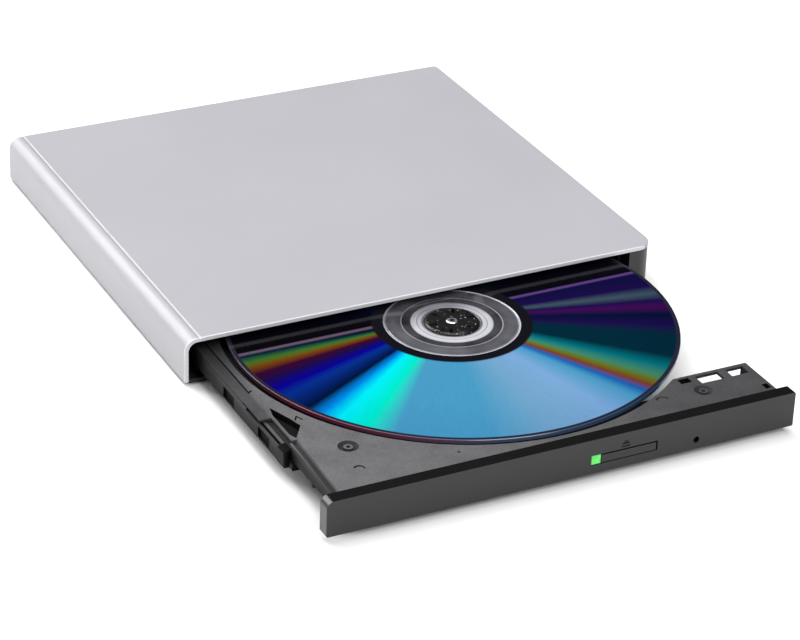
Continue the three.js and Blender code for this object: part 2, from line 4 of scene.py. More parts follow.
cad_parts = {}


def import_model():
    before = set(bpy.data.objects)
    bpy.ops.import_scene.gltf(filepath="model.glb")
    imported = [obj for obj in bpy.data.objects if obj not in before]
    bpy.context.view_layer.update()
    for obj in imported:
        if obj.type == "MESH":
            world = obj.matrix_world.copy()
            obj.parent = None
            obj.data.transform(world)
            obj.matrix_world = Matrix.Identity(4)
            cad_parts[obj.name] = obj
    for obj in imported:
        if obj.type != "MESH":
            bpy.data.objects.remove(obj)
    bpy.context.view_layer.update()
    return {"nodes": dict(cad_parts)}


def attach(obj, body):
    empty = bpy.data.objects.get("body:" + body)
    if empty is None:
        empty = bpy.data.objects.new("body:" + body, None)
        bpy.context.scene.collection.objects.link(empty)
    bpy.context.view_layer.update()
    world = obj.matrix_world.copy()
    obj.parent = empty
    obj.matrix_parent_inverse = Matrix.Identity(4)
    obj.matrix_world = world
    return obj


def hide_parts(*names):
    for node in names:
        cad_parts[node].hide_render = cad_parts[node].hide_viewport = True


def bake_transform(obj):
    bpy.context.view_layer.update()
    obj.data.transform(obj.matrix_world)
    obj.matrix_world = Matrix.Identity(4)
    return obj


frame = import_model()
NODES = frame["nodes"]
scene = bpy.context.scene
MM = 0.001
YOFF = -25.1          # the case's front plane is at y = 25.1 mm behind the origin


def P(x, y, z):
    """A point given on the drive's own grid (mm, y = 0 on the front plane) in the row frame."""
    return Vector((x * MM, (y + YOFF) * MM, z * MM))


# ------------------------------------------------------------------ sizes (mm), as in the CAD model
HX, CD, TOP = 70.2, 133.0, 13.4
COVER_T, COVER_R, PLAN_R = 1.1, 3.7, 5.0
BX0, BX1, BY, BT, BZ0, BZ1 = -68.8, 62.0, -82.8, 3.7, 2.3, 12.0
SPX, SPY = -0.06, -13.8
LAND, WELL = 10.5, 8.6
DZ0, DZ1 = 9.6, 10.8    # the disc's two faces
ANG = 3 * math.pi / 4

# ------------------------------------------------------------------ camera
def make_camera():
    az, el, roll, dist, tx, ty, f, cx, cy = -27.37, 28.53, 2.03, 782.69, 4.71, -14.08, 2841.02, 395.33, 319.83
    a, e = math.radians(az), math.radians(el)
    back = Vector((math.sin(a) * math.cos(e), -math.cos(a) * math.cos(e), math.sin(e)))
    fw = -back
    r = fw.cross(Vector((0, 0, 1))).normalized()
    u = r.cross(fw)
    c, s = math.cos(math.radians(roll)), math.sin(math.radians(roll))
    right, up = c * r + s * u, -s * r + c * u
    loc = Vector((0, 30, 5.6)) + back * dist + right * tx + up * ty
    cam = bpy.data.objects.new("camera", bpy.data.cameras.new("camera"))
    scene.collection.objects.link(cam)
    m = Matrix((right, up, -fw)).transposed().to_4x4()
    m.translation = P(loc.x, loc.y, loc.z)
    cam.matrix_world = m
    cam.data.sensor_fit = "HORIZONTAL"
    cam.data.sensor_width = 36
    cam.data.lens = f / 800 * 36
    cam.data.shift_x = (400 - cx) / 800
    cam.data.shift_y = (cy - 320) / 800
    cam.data.clip_start, cam.data.clip_end = 0.01, 20
    scene.camera = cam
    return cam


CAM = make_camera()

# ------------------------------------------------------------------ material helpers
def srgb(r, g, b):
    def lin(c):
        c /= 255
        return c / 12.92 if c <= 0.04045 else ((c + 0.055) / 1.055) ** 2.4
    return (lin(r), lin(g), lin(b), 1)


class Mat:
    """A small helper round a node tree with one Principled shader."""

    def __init__(self, name, color, rough, metal=0.0, **kw):
        self.m = bpy.data.materials.new(name)
        self.m.use_nodes = True
        self.t = self.m.node_tree
        self.b = self.t.nodes["Principled BSDF"]
        self.set("Base Color", color)
        self.set("Roughness", rough)
        self.set("Metallic", metal)
        for k, v in kw.items():
            self.set(k.replace("_", " ").title().replace("Ior", "IOR"), v)

    def set(self, k, v):
        self.b.inputs[k].default_value = v

    def node(self, kind, **kw):
        n = self.t.nodes.new(kind)
        for k, v in kw.items():
            if k.startswith("i_"):
                key = k[2:].replace("_", " ")
                key = int(key) if key.isdigit() else key
                n.inputs[key].default_value = v
            else:
                setattr(n, k, v)
        return n

    def link(self, a, b):
        self.t.links.new(a, b)

    def coords(self, scale=(1, 1, 1), loc=(0, 0, 0), rot=(0, 0, 0)):
        tc = self.node("ShaderNodeTexCoord")
        mp = self.node("ShaderNodeMapping")
        mp.inputs["Scale"].default_value = scale
        mp.inputs["Location"].default_value = loc
        mp.inputs["Rotation"].default_value = rot
        self.link(tc.outputs["Object"], mp.inputs["Vector"])
        return mp.outputs["Vector"]

    def ramp(self, fac, stops, interp="LINEAR"):
        r = self.node("ShaderNodeValToRGB")
        r.color_ramp.interpolation = interp
        el = r.color_ramp.elements
        while len(el) > 1:
            el.remove(el[-1])
        el[0].position, el[0].color = stops[0]
        for p, c in stops[1:]:
            e = el.new(p)
            e.color = c
        self.link(fac, r.inputs["Fac"])
        return r.outputs["Color"]

    def noise(self, vec, scale, detail=3.0, rough=0.5):
        n = self.node("ShaderNodeTexNoise")
        n.inputs["Scale"].default_value = scale
        n.inputs["Detail"].default_value = detail
        n.inputs["Roughness"].default_value = rough
        self.link(vec, n.inputs["Vector"])
        return n.outputs["Fac"]

    def math(self, op, a, b=None, c=None):
        n = self.node("ShaderNodeMath", operation=op)
        for i, v in enumerate((a, b, c)):
            if v is None:
                continue
            if isinstance(v, (int, float)):
                n.inputs[i].default_value = v
            else:
                self.link(v, n.inputs[i])
        return n.outputs[0]

    def mix(self, fac, a, b, blend="MIX"):
        n = self.node("ShaderNodeMix", data_type="RGBA", blend_type=blend)
        for key, v in ((0, fac), (6, a), (7, b)):
            if isinstance(v, (int, float)):
                n.inputs[key].default_value = v
            elif isinstance(v, tuple):
                n.inputs[key].default_value = v
            else:
                self.link(v, n.inputs[key])
        return n.outputs[2]

    def bump(self, height, strength, dist=0.0001):
        n = self.node("ShaderNodeBump")
        n.inputs["Strength"].default_value = strength
        n.inputs["Distance"].default_value = dist
        self.link(height, n.inputs["Height"])
        self.link(n.outputs["Normal"], self.b.inputs["Normal"])


def grain_plastic(name, lo, hi, rough, grain=9000, bump=0.12, rough_var=0.06, spec=0.5):
    """Moulded plastic with a spark-eroded grain: fine bump, slight mottling in tone and roughness."""
    k = Mat(name, lo, rough)
    k.set("Specular IOR Level", spec)
    v = k.coords()
    fine = k.noise(v, grain, 2.0, 0.6)
    broad = k.noise(v, 90, 3.0, 0.5)
    mid = k.noise(v, 1400, 2.0, 0.6)
    tone = k.math("ADD", k.math("MULTIPLY", broad, 0.55), k.math("MULTIPLY", mid, 0.45))
    k.link(k.ramp(tone, [(0.3, lo), (0.7, hi)]), k.b.inputs["Base Color"])
    k.link(k.math("MULTIPLY_ADD", mid, rough_var * 2, rough - rough_var), k.b.inputs["Roughness"])
    k.bump(k.math("ADD", fine, k.math("MULTIPLY", mid, 0.4)), bump, 0.00005)
    return k.m


def sheet_steel(name, lo, hi, rough, stretch=(1, 60, 1)):
    """Rolled sheet steel: long faint rolling lines in tone, roughness and bump."""
    k = Mat(name, lo, rough, 1.0)
    v = k.coords(scale=stretch)
    lines = k.noise(v, 120, 4.0, 0.6)
    spots = k.noise(k.coords(), 60, 3.0, 0.5)
    tone = k.math("ADD", k.math("MULTIPLY", lines, 0.6), k.math("MULTIPLY", spots, 0.4))
    k.link(k.ramp(tone, [(0.35, lo), (0.65, hi)]), k.b.inputs["Base Color"])
    k.link(k.math("MULTIPLY_ADD", lines, 0.2, rough - 0.1), k.b.inputs["Roughness"])
    k.bump(lines, 0.05, 0.00003)
    return k.m


def rubber(name):
    k = Mat(name, srgb(30, 30, 31), 0.85)
    v = k.coords()
    n = k.noise(v, 3000, 3, 0.6)
    k.link(k.ramp(n, [(0.3, srgb(24, 24, 25)), (0.7, srgb(38, 38, 39))]), k.b.inputs["Base Color"])
    k.bump(n, 0.2, 0.00004)
    return k.m


# ---- silver paint: pale pigment with fine flake under a thin satin layer
def silver():
    k = Mat("silver_paint", srgb(172, 171, 177), 0.42)
    k.set("Specular IOR Level", 0.55)
    k.set("Coat Weight", 0.2)
    k.set("Coat Roughness", 0.25)
    v = k.coords()
    flake = k.noise(v, 6500, 1.0, 0.5)
    cloud = k.noise(v, 26, 2.0, 0.5)
    tone = k.math("ADD", k.math("MULTIPLY", flake, 0.6), k.math("MULTIPLY", cloud, 0.4))
    col = k.ramp(tone, [(0.25, srgb(149, 148, 153)), (0.75, srgb(158, 157, 162))])
    # painted highlight: the faces of the front edge (y below 0.36 mm) get a brighter colour, as if they caught the
    # light
    tc = k.node("ShaderNodeTexCoord")
    sep = k.node("ShaderNodeSeparateXYZ")
    k.link(tc.outputs["Object"], sep.inputs[0])
    y = k.math("SUBTRACT", k.math("MULTIPLY", sep.outputs[1], 1000.0), YOFF)
    col = k.mix(k.math("LESS_THAN", y, 0.36), col, srgb(196, 195, 200))
    k.link(col, k.b.inputs["Base Color"])
    k.link(k.math("MULTIPLY_ADD", flake, 0.10, 0.36), k.b.inputs["Roughness"])
    k.bump(flake, 0.03, 0.00002)
    return k.m


M_SILVER = silver()
M_CASE = grain_plastic("case_plastic", srgb(22, 22, 23), srgb(30, 30, 31), 0.42, bump=0.08)
M_BEZEL = grain_plastic("bezel_plastic", srgb(11, 11, 12), srgb(16, 16, 17), 0.24, bump=0.03, rough_var=0.03)
M_STOP = grain_plastic("stop_plastic", srgb(6, 6, 7), srgb(10, 10, 11), 0.5, bump=0.05, spec=0.08)
# darkened steel for the drive chassis: painted shade inside the mouth
M_SHADED_STEEL = sheet_steel("steel_painted_shade", srgb(58, 59, 61), srgb(74, 75, 77), 0.42)
M_MARK = grain_plastic("bezel_mark", srgb(4, 4, 4), srgb(7, 7, 7), 0.85, bump=0.05)
M_BLACK = grain_plastic("black_plastic", srgb(8, 8, 9), srgb(13, 13, 14), 0.35, bump=0.05)
M_NYLON = grain_plastic("nylon", srgb(214, 210, 198), srgb(226, 222, 212), 0.5, bump=0.05)
M_RUBBER = rubber("rubber")
M_STEEL = sheet_steel("steel_sheet", srgb(150, 152, 154), srgb(186, 188, 190), 0.36)
M_BRIGHT = sheet_steel("bright_steel", srgb(206, 207, 210), srgb(232, 232, 234), 0.16, (60, 1, 1))
M_CHIP = grain_plastic("chip", srgb(22, 22, 23), srgb(32, 32, 33), 0.45)


def tray_plastic(name, lo, hi, top, low, painted_falloff=(1.0, 1.0), spec=0.15, rim=None):
    """Glass-filled plastic: matte grain with cloudy flow marks; painted shade darkens it below the height 'top' and
    most under 'low', with a painted light falloff across x, painted shadow of the cover towards the rear and painted
    shade on the left rim strip.
    """
    k = Mat(name, lo, 0.6)
    k.set("Specular IOR Level", spec)
    v = k.coords()
    fine = k.noise(v, 8000, 2.0, 0.6)
    broad = k.noise(v, 110, 4.0, 0.65)
    mid = k.noise(v, 1500, 3.0, 0.6)
    tone = k.math("ADD", k.math("MULTIPLY", broad, 0.5), k.math("MULTIPLY", mid, 0.5))
    col = k.ramp(tone, [(0.3, lo), (0.7, hi)])
    tc = k.node("ShaderNodeTexCoord")
    sep = k.node("ShaderNodeSeparateXYZ")
    k.link(tc.outputs["Object"], sep.inputs[0])
    # painted shade: the colour is darkened below the height 'top' and darkest under 'low'
    z = k.math("MULTIPLY", sep.outputs[2], 1000.0)
    f = k.node("ShaderNodeMapRange")
    k.link(z, f.inputs["Value"])
    f.inputs["From Min"].default_value, f.inputs["From Max"].default_value = low, top
    f.clamp = True
    painted_recess_shade = k.ramp(f.outputs["Result"], [(0.0, (0.07, 0.07, 0.07, 1)), (0.45, (0.2, 0.2, 0.2, 1)), (0.86, (0.5, 0.5, 0.5, 1)), (1.0, (1, 1, 1, 1))])
    col = k.mix(1.0, col, painted_recess_shade, "MULTIPLY")
    # painted light falloff: the colour is darkened across x from left to right by the two given factors
    g = k.node("ShaderNodeMapRange")
    k.link(sep.outputs[0], g.inputs["Value"])
    g.inputs["From Min"].default_value, g.inputs["From Max"].default_value = -0.055, 0.04
    g.inputs["To Min"].default_value, g.inputs["To Max"].default_value = painted_falloff
    gc = k.node("ShaderNodeCombineColor")
    for i in range(3):
        k.link(g.outputs["Result"], gc.inputs[i])
    col = k.mix(1.0, col, gc.outputs[0], "MULTIPLY")
    # painted shadow of the cover: the colour darkens from about y = -26 mm towards the front plane and stays dark
    # further back
    y = k.math("SUBTRACT", k.math("MULTIPLY", sep.outputs[1], 1000.0), YOFF)
    rear = k.ramp(k.math("DIVIDE", k.math("ADD", y, 28.0), 28.0), [(0.08, (1, 1, 1, 1)), (0.45, (0.6, 0.6, 0.6, 1)), (0.72, (0.22, 0.22, 0.22, 1)), (0.9, (0.08, 0.08, 0.08, 1))])
    col = k.mix(1.0, col, rear, "MULTIPLY")
    # painted shade on the left rim strip: behind y = -52 mm the colour is darkened to the factor 'rim' left of about x
    # = -64 mm
    if rim is not None:
        x = k.math("MULTIPLY", sep.outputs[0], 1000.0)
        edge = k.ramp(k.math("DIVIDE", k.math("ADD", x, 67.0), 10.0), [(0.0, (rim, rim, rim, 1)), (0.30, (rim, rim, rim, 1)), (0.36, (0.8, 0.8, 0.8, 1)), (0.6, (1, 1, 1, 1))])
        col = k.mix(k.math("GREATER_THAN", y, -52.0), col, k.mix(1.0, col, edge, "MULTIPLY"))
    k.link(col, k.b.inputs["Base Color"])
    k.link(k.math("MULTIPLY_ADD", mid, 0.16, 0.5), k.b.inputs["Roughness"])
    k.bump(k.math("ADD", fine, k.math("MULTIPLY", mid, 0.5)), 0.22, 0.00005)
    return k.m


def axis_radius(k, cx, cy):
    """Distance from a vertical axis in mm, and the two offsets, from object coordinates."""
    tc = k.node("ShaderNodeTexCoord")
    sep = k.node("ShaderNodeSeparateXYZ")
    k.link(tc.outputs["Object"], sep.inputs[0])
    dx = k.math("SUBTRACT", k.math("MULTIPLY", sep.outputs[0], 1000.0), cx)
    dy = k.math("SUBTRACT", k.math("MULTIPLY", sep.outputs[1], 1000.0), cy + YOFF)
    r = k.math("SQRT", k.math("ADD", k.math("MULTIPLY", dx, dx), k.math("MULTIPLY", dy, dy)))
    return r, dx, dy


def smooth_step(k, v, lo, hi):
    m = k.node("ShaderNodeMapRange", interpolation_type="SMOOTHSTEP")
    k.link(v, m.inputs["Value"])
    m.inputs["From Min"].default_value, m.inputs["From Max"].default_value = lo, hi
    return m.outputs["Result"]


# the diffraction colours round the disc's data area are painted reflection: a few plain colours, each set at an angle
# about the spindle
BLACK, GREEN, ORANGE, WINE, BLUE, ROYAL, NAVY, AZURE = (5, 5, 10), (60, 110, 40), (115, 60, 5), (55, 5, 40), (5, 0, 140), (5, 45, 135), (0, 15, 50), (0, 130, 220)
CYAN, TURQUOISE, STEEL, PALE, SKY, DEEP, RUST, OLIVE = (0, 230, 240), (0, 225, 195), (70, 150, 190), (110, 160, 195), (120, 165, 210), (20, 90, 170), (120, 55, 40), (100, 110, 20)
SEA, TEAL, GLOOM, VIOLET, PLUM, SLATE = (60, 130, 100), (0, 110, 120), (0, 40, 55), (25, 10, 70), (60, 10, 80), (60, 80, 90)
HUES = [(165, BLACK), (171, BLACK), (174, GLOOM), (177, GREEN), (180, ORANGE), (183, WINE), (187, VIOLET), (192, BLUE), (196, ROYAL), (204, NAVY), (208, AZURE), (213, CYAN), (221, TURQUOISE),
        (228, STEEL), (252, STEEL), (268, PALE), (286, SKY), (296, STEEL), (300, DEEP), (303, RUST), (306, OLIVE), (309, SEA), (314, TEAL), (320, GLOOM), (331, GLOOM),
        (337, VIOLET), (343, NAVY), (348, PLUM), (351, VIOLET), (355, SLATE), (359, VIOLET), (372, NAVY)]
LIT = 1.72             # how much brighter a plain white level face is than 1.0 under the lights


def disc_data():
    k = Mat("disc_data", srgb(60, 90, 150), 0.1)
    k.set("Specular IOR Level", 0.12)
    k.set("IOR", 1.55)
    r, dx, dy = axis_radius(k, SPX, SPY)
    _, ex, ey = axis_radius(k, SPX, SPY + 3.3)
    # painted reflection: the hue is read from the angle about the middle of the diffraction fan
    ang = k.math("MULTIPLY", k.math("ARCTAN2", ey, ex), 180 / math.pi)
    # fine streaks that run out from the middle
    cmb = k.node("ShaderNodeCombineXYZ")
    k.link(k.math("MULTIPLY", k.math("DIVIDE", ex, k.math("SQRT", k.math("ADD", k.math("MULTIPLY", ex, ex), k.math("MULTIPLY", ey, ey)))), 1.0), cmb.inputs[0])
    k.link(k.math("MULTIPLY", k.math("DIVIDE", ey, k.math("SQRT", k.math("ADD", k.math("MULTIPLY", ex, ex), k.math("MULTIPLY", ey, ey)))), 1.0), cmb.inputs[1])
    k.link(k.math("MULTIPLY", r, 0.004), cmb.inputs[2])
    streak = k.noise(cmb.outputs[0], 60, 3.0, 0.6)
    ang = k.math("ADD", ang, k.math("MULTIPLY_ADD", streak, 0.9, -0.45))
    a20 = k.math("ADD", k.math("FLOORED_MODULO", k.math("SUBTRACT", ang, 20.0), 360.0), 20.0)

    def seen(t):
        """The hues are listed by angle about the spindle at 38 mm; here by angle about the fan's own middle."""
        q = math.degrees(math.atan2(38 * math.sin(math.radians(t)) - 3.3, 38 * math.cos(math.radians(t)))) % 360
        return q + 360 if q < 20 else q

    fan = [(seen(t), c) for t, c in HUES]
    mid, end = seen(268), fan[-1][0]
    back = [(end - 360, NAVY), (22, VIOLET), (36, TEAL), (50, STEEL), (95, PALE), (115, STEEL), (130, TURQUOISE), (141, AZURE), (151, ROYAL), (161, VIOLET), (fan[0][0], BLACK)]

    def part(stops, v):
        lo, hi = stops[0][0], stops[-1][0]
        out = []
        for t, rgb in stops:
            c = srgb(*rgb)
            out.append(((t - lo) / (hi - lo), (c[0] / LIT, c[1] / LIT, c[2] / LIT, 1)))
        return k.ramp(k.math("DIVIDE", k.math("SUBTRACT", v, float(lo)), float(hi - lo)), out)
    one = part([q for q in fan if q[0] <= mid + 1e-6], a20)
    two = part([q for q in fan if q[0] >= mid - 1e-6], a20)
    three = part(back, k.math("FLOORED_MODULO", ang, 360.0))
    hue = k.mix(k.math("GREATER_THAN", a20, mid), one, two)
    rear = k.math("MULTIPLY", k.math("GREATER_THAN", k.math("FLOORED_MODULO", ang, 360.0), end - 360.0), k.math("LESS_THAN", k.math("FLOORED_MODULO", ang, 360.0), fan[0][0]))
    hue = k.mix(rear, hue, three)
    tone = k.ramp(k.math("DIVIDE", r, 60.0), [(0.36, (1.02, 1.02, 1.02, 1)), (0.7, (1, 1, 1, 1)), (0.97, (0.9, 0.9, 0.94, 1))])
    hue = k.mix(1.0, hue, tone, "MULTIPLY")
    st2 = k.ramp(streak, [(0.3, (0.97, 0.97, 0.97, 1)), (0.7, (1.04, 1.04, 1.04, 1))])
    hue = k.mix(1.0, hue, st2, "MULTIPLY")
    # painted reflection: a dark band where the disc mirrors the dark mouth under the cover, behind a pale line where
    # it mirrors the cover's front edge, both straight across
    yy = k.math("ADD", dy, SPY)
    dark = k.math("MULTIPLY", smooth_step(k, yy, -8.0, -7.3), k.math("SUBTRACT", 1.0, smooth_step(k, yy, 2.0, 6.0)))
    hue = k.mix(k.math("MULTIPLY", dark, 0.96), hue, (0.001, 0.001, 0.002, 1))
    line = k.math("MULTIPLY", smooth_step(k, yy, -9.0, -8.3), k.math("SUBTRACT", 1.0, smooth_step(k, yy, -7.7, -7.1)))
    side = smooth_step(k, dx, -20.0, 20.0)
    reflected_edge_left, reflected_edge_right = srgb(104, 82, 104), srgb(92, 62, 124)
    hue = k.mix(k.math("MULTIPLY", line, 0.9), hue, k.mix(side, tuple(q / LIT for q in reflected_edge_left[:3]) + (1,), tuple(q / LIT for q in reflected_edge_right[:3]) + (1,)))
    # inner mirror band without data, painted near-black as its dark reflection, and the plain clear edge
    inner = smooth_step(k, r, 20.9, 21.7)
    hue = k.mix(inner, (0.004, 0.004, 0.006, 1), hue)
    outer = smooth_step(k, r, 58.7, 59.0)
    hue = k.mix(outer, hue, (0.012, 0.012, 0.02, 1))
    k.link(hue, k.b.inputs["Base Color"])
    k.link(k.math("MULTIPLY_ADD", streak, 0.06, 0.07), k.b.inputs["Roughness"])
    return k.m


def disc_hub():
    """The clear middle of the disc: rings moulded in it, seen over the dark table, with painted highlights on the ring
    edges and painted shadow of the cover on the rear side.
    """
    k = Mat("disc_clear", srgb(90, 90, 95), 0.12)
    k.set("IOR", 1.58)
    r, dx, dy = axis_radius(k, SPX, SPY)
    n = k.noise(k.coords(), 160, 2.0, 0.5)
    # the pale rings in this ramp are painted highlights on the edges of the moulded rings
    col = k.ramp(k.math("DIVIDE", r, 20.0), [
        (0.37, srgb(150, 150, 155)), (0.395, srgb(60, 60, 64)), (0.41, srgb(168, 168, 174)), (0.455, srgb(176, 176, 182)), (0.465, srgb(96, 96, 102)),
        (0.475, srgb(180, 180, 186)), (0.54, srgb(168, 168, 174)), (0.553, srgb(44, 44, 48)), (0.66, srgb(36, 36, 40)), (0.672, srgb(150, 150, 156)),
        (0.684, srgb(64, 64, 69)), (0.78, srgb(74, 74, 80)), (0.86, srgb(66, 66, 72)), (0.878, srgb(110, 110, 118)), (0.90, srgb(190, 190, 198)),
        (0.915, srgb(26, 26, 30)), (1.0, srgb(10, 10, 12))])
    # painted shadow of the cover: darker towards the rear side of the hub area
    shade = k.ramp(k.math("DIVIDE", k.math("ADD", dy, 20.0), 40.0), [(0.5, (1, 1, 1, 1)), (0.64, (0.62, 0.62, 0.63, 1)), (0.72, (0.3, 0.3, 0.32, 1))])
    col = k.mix(1.0, col, shade, "MULTIPLY")
    k.link(k.mix(0.12, col, k.ramp(n, [(0.3, (0, 0, 0, 1)), (0.7, (0.25, 0.25, 0.27, 1))])), k.b.inputs["Base Color"])
    k.link(k.math("MULTIPLY_ADD", n, 0.06, 0.09), k.b.inputs["Roughness"])
    return k.m


def disc_edge():
    k = Mat("disc_edge", srgb(96, 104, 122), 0.18)
    r, dx, dy = axis_radius(k, SPX, SPY)
    a = k.math("DIVIDE", k.math("ARCTAN2", dy, dx), 2 * math.pi)
    a = k.math("FRACT", k.math("ADD", a, 1.0))
    # painted reflection: the colours round the clear rim are set by angle about the spindle
    k.link(k.ramp(a, [(0.0, srgb(14, 18, 40)), (0.3, srgb(30, 34, 50)), (0.5, srgb(52, 40, 58)), (0.57, srgb(92, 34, 56)), (0.64, srgb(88, 52, 72)),
                      (0.7, srgb(62, 72, 98)), (0.8, srgb(40, 62, 88)), (0.88, srgb(16, 26, 56)), (1.0, srgb(14, 18, 40))]), k.b.inputs["Base Color"])
    n = k.noise(k.coords(), 900, 2.0, 0.5)
    k.link(k.math("MULTIPLY_ADD", n, 0.1, 0.12), k.b.inputs["Roughness"])
    return k.m


def tip_mat():
    """Turned steel: bright face with fine rings, and a dark centre painted as the shade in the centre hole."""
    k = Mat("turned_steel", srgb(200, 200, 204), 0.25, 1.0)
    r, dx, dy = axis_radius(k, SPX, SPY)
    rings = k.node("ShaderNodeTexWave", wave_type="RINGS", rings_direction="Z")
    rings.inputs["Scale"].default_value = 900
    k.link(k.coords(loc=(-SPX * MM, -(SPY + YOFF) * MM, 0)), rings.inputs["Vector"])
    col = k.ramp(k.math("DIVIDE", r, 2.0), [(0.3, srgb(20, 20, 22)), (0.36, srgb(226, 226, 230)), (0.9, srgb(236, 236, 240))])
    k.link(k.mix(0.12, col, rings.outputs["Color"]), k.b.inputs["Base Color"])
    k.link(k.math("MULTIPLY_ADD", rings.outputs["Fac"], 0.1, 0.3), k.b.inputs["Roughness"])
    return k.m


def hub_mat():
    """Black hub with a random scatter of small pale dots."""
    k = Mat("hub_plastic", srgb(14, 14, 15), 0.35)
    k.set("Specular IOR Level", 0.4)
    v = k.coords()
    vor = k.node("ShaderNodeTexVoronoi")
    vor.inputs["Scale"].default_value = 1150
    k.link(v, vor.inputs["Vector"])
    n = k.noise(v, 420, 2.0, 0.6)
    dots = k.ramp(vor.outputs["Distance"], [(0.0, (0.42, 0.42, 0.43, 1)), (0.16, (0.3, 0.3, 0.3, 1)), (0.24, (0, 0, 0, 1))])
    dots = k.mix(1.0, dots, k.ramp(n, [(0.46, (0, 0, 0, 1)), (0.56, (1, 1, 1, 1))]), "MULTIPLY")
    k.link(k.mix(1.0, srgb(13, 13, 14), dots, "ADD"), k.b.inputs["Base Color"])
    k.link(k.math("MULTIPLY_ADD", n, 0.2, 0.25), k.b.inputs["Roughness"])
    k.bump(vor.outputs["Distance"], 0.15, 0.00004)
    return k.m


M_DISC, M_HUBRING, M_DEDGE, M_TIP, M_HUB = disc_data(), disc_hub(), disc_edge(), tip_mat(), hub_mat()
# near-black painted shade for slots, pockets and grooves, and for the crescent mark
M_PIT_SHADE = grain_plastic("pit_painted_shade", srgb(6, 6, 6), srgb(9, 9, 9), 0.8, bump=0.05, spec=0.1)
M_TRAY = tray_plastic("tray_plastic", srgb(73, 73, 75), srgb(97, 97, 99), 10.45, 7.0, (1.0, 0.46), spec=0.09, rim=0.5)
M_TRAYDIM = grain_plastic("tray_shade", srgb(36, 36, 37), srgb(50, 50, 51), 0.65, bump=0.15, spec=0.1)
M_RAIL = tray_plastic("rail_plastic", srgb(64, 64, 66), srgb(82, 82, 84), 9.3, 4.5, (1.0, 1.0), spec=0.07)


def pcb():
    k = Mat("pcb", srgb(18, 84, 44), 0.35)
    v = k.coords()
    br = k.node("ShaderNodeTexVoronoi")
    br.inputs["Scale"].default_value = 260
    k.link(v, br.inputs["Vector"])
    k.link(k.ramp(br.outputs["Distance"], [(0.0, srgb(36, 116, 62)), (0.2, srgb(22, 92, 48)), (0.6, srgb(14, 76, 40))]), k.b.inputs["Base Color"])
    k.bump(br.outputs["Distance"], 0.1, 0.00004)
    return k.m


def copper():
    k = Mat("copper_winding", srgb(176, 98, 52), 0.34, 0.9)
    v = k.coords()
    w = k.node("ShaderNodeTexWave", wave_type="BANDS", bands_direction="Z")
    w.inputs["Scale"].default_value = 900
    k.link(v, w.inputs["Vector"])
    k.link(k.ramp(w.outputs["Fac"], [(0, srgb(120, 60, 30)), (1, srgb(196, 116, 62))]), k.b.inputs["Base Color"])
    k.bump(w.outputs["Fac"], 0.4, 0.00005)
    return k.m


def flexmat():
    k = Mat("flex", srgb(196, 178, 132), 0.35)
    v = k.coords()
    w = k.node("ShaderNodeTexWave", wave_type="BANDS", bands_direction="X")
    w.inputs["Scale"].default_value = 320
    k.link(v, w.inputs["Vector"])
    k.link(k.ramp(w.outputs["Fac"], [(0.2, srgb(206, 190, 146)), (0.6, srgb(150, 96, 52))]), k.b.inputs["Base Color"])
    k.bump(w.outputs["Fac"], 0.1, 0.00003)
    return k.m


def ledmat():
    k = Mat("led_green", srgb(88, 215, 95), 0.3)
    k.set("Coat Weight", 0.3)
    v = k.coords()
    n = k.noise(v, 700, 2, 0.5)
    col = k.ramp(n, [(0.3, srgb(60, 186, 70)), (0.7, srgb(104, 214, 104))])
    k.link(col, k.b.inputs["Base Color"])
    k.link(col, k.b.inputs["Emission Color"])
    k.set("Emission Strength", 0.2)
    return k.m


def lensmat():
    k = Mat("lens_glass", (0.75, 0.82, 0.95, 1), 0.04)
    k.set("Transmission Weight", 0.85)
    k.set("IOR", 1.5)
    k.set("Coat Weight", 0.5)
    n = k.noise(k.coords(), 500, 1, 0.5)
    k.link(k.ramp(n, [(0.3, (0.6, 0.7, 0.95, 1)), (0.7, (0.8, 0.75, 0.95, 1))]), k.b.inputs["Base Color"])
    return k.m


M_PCB, M_COPPER, M_FLEX, M_LED, M_LENS = pcb(), copper(), flexmat(), ledmat(), lensmat()

# ------------------------------------------------------------------ geometry helpers
def obj(name, mesh, mats, body, smooth=True, replaces=()):
    o = bpy.data.objects.new(name, mesh)
    scene.collection.objects.link(o)
    for m in (mats if isinstance(mats, (list, tuple)) else [mats]):
        o.data.materials.append(m)
    for p in o.data.polygons:
        p.use_smooth = smooth
    if body:
        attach(o, body)
    if replaces:
        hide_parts(*replaces)
    return o


def from_bm(bm, name="m"):
    me = bpy.data.meshes.new(name)
    bmesh.ops.recalc_face_normals(bm, faces=bm.faces)
    bm.to_mesh(me)
    bm.free()
    return me


def apply_mods(o):
    """Bakes the modifiers of an object that scene.py made into its mesh."""
    bpy.context.view_layer.update()
    dg = bpy.context.evaluated_depsgraph_get()
    me = bpy.data.meshes.new_from_object(o.evaluated_get(dg))
    o.modifiers.clear()
    o.data = me


def outline_bm(pts, z0, z1):
    """A closed outline in XY raised from z0 to z1 (mm on the drive's grid)."""
    bm = bmesh.new()
    lo = [bm.verts.new(P(x, y, z0)) for x, y in pts]
    hi = [bm.verts.new(P(x, y, z1)) for x, y in pts]
    n = len(pts)
    bm.faces.new(lo[::-1])
    bm.faces.new(hi)
    for i in range(n):
        j = (i + 1) % n
        bm.faces.new((lo[i], lo[j], hi[j], hi[i]))
    bmesh.ops.recalc_face_normals(bm, faces=bm.faces)
    return bm


def arc(cx, cy, r, a0, a1, n):
    return [(cx + r * math.cos(a0 + (a1 - a0) * i / n), cy + r * math.sin(a0 + (a1 - a0) * i / n)) for i in range(n + 1)]


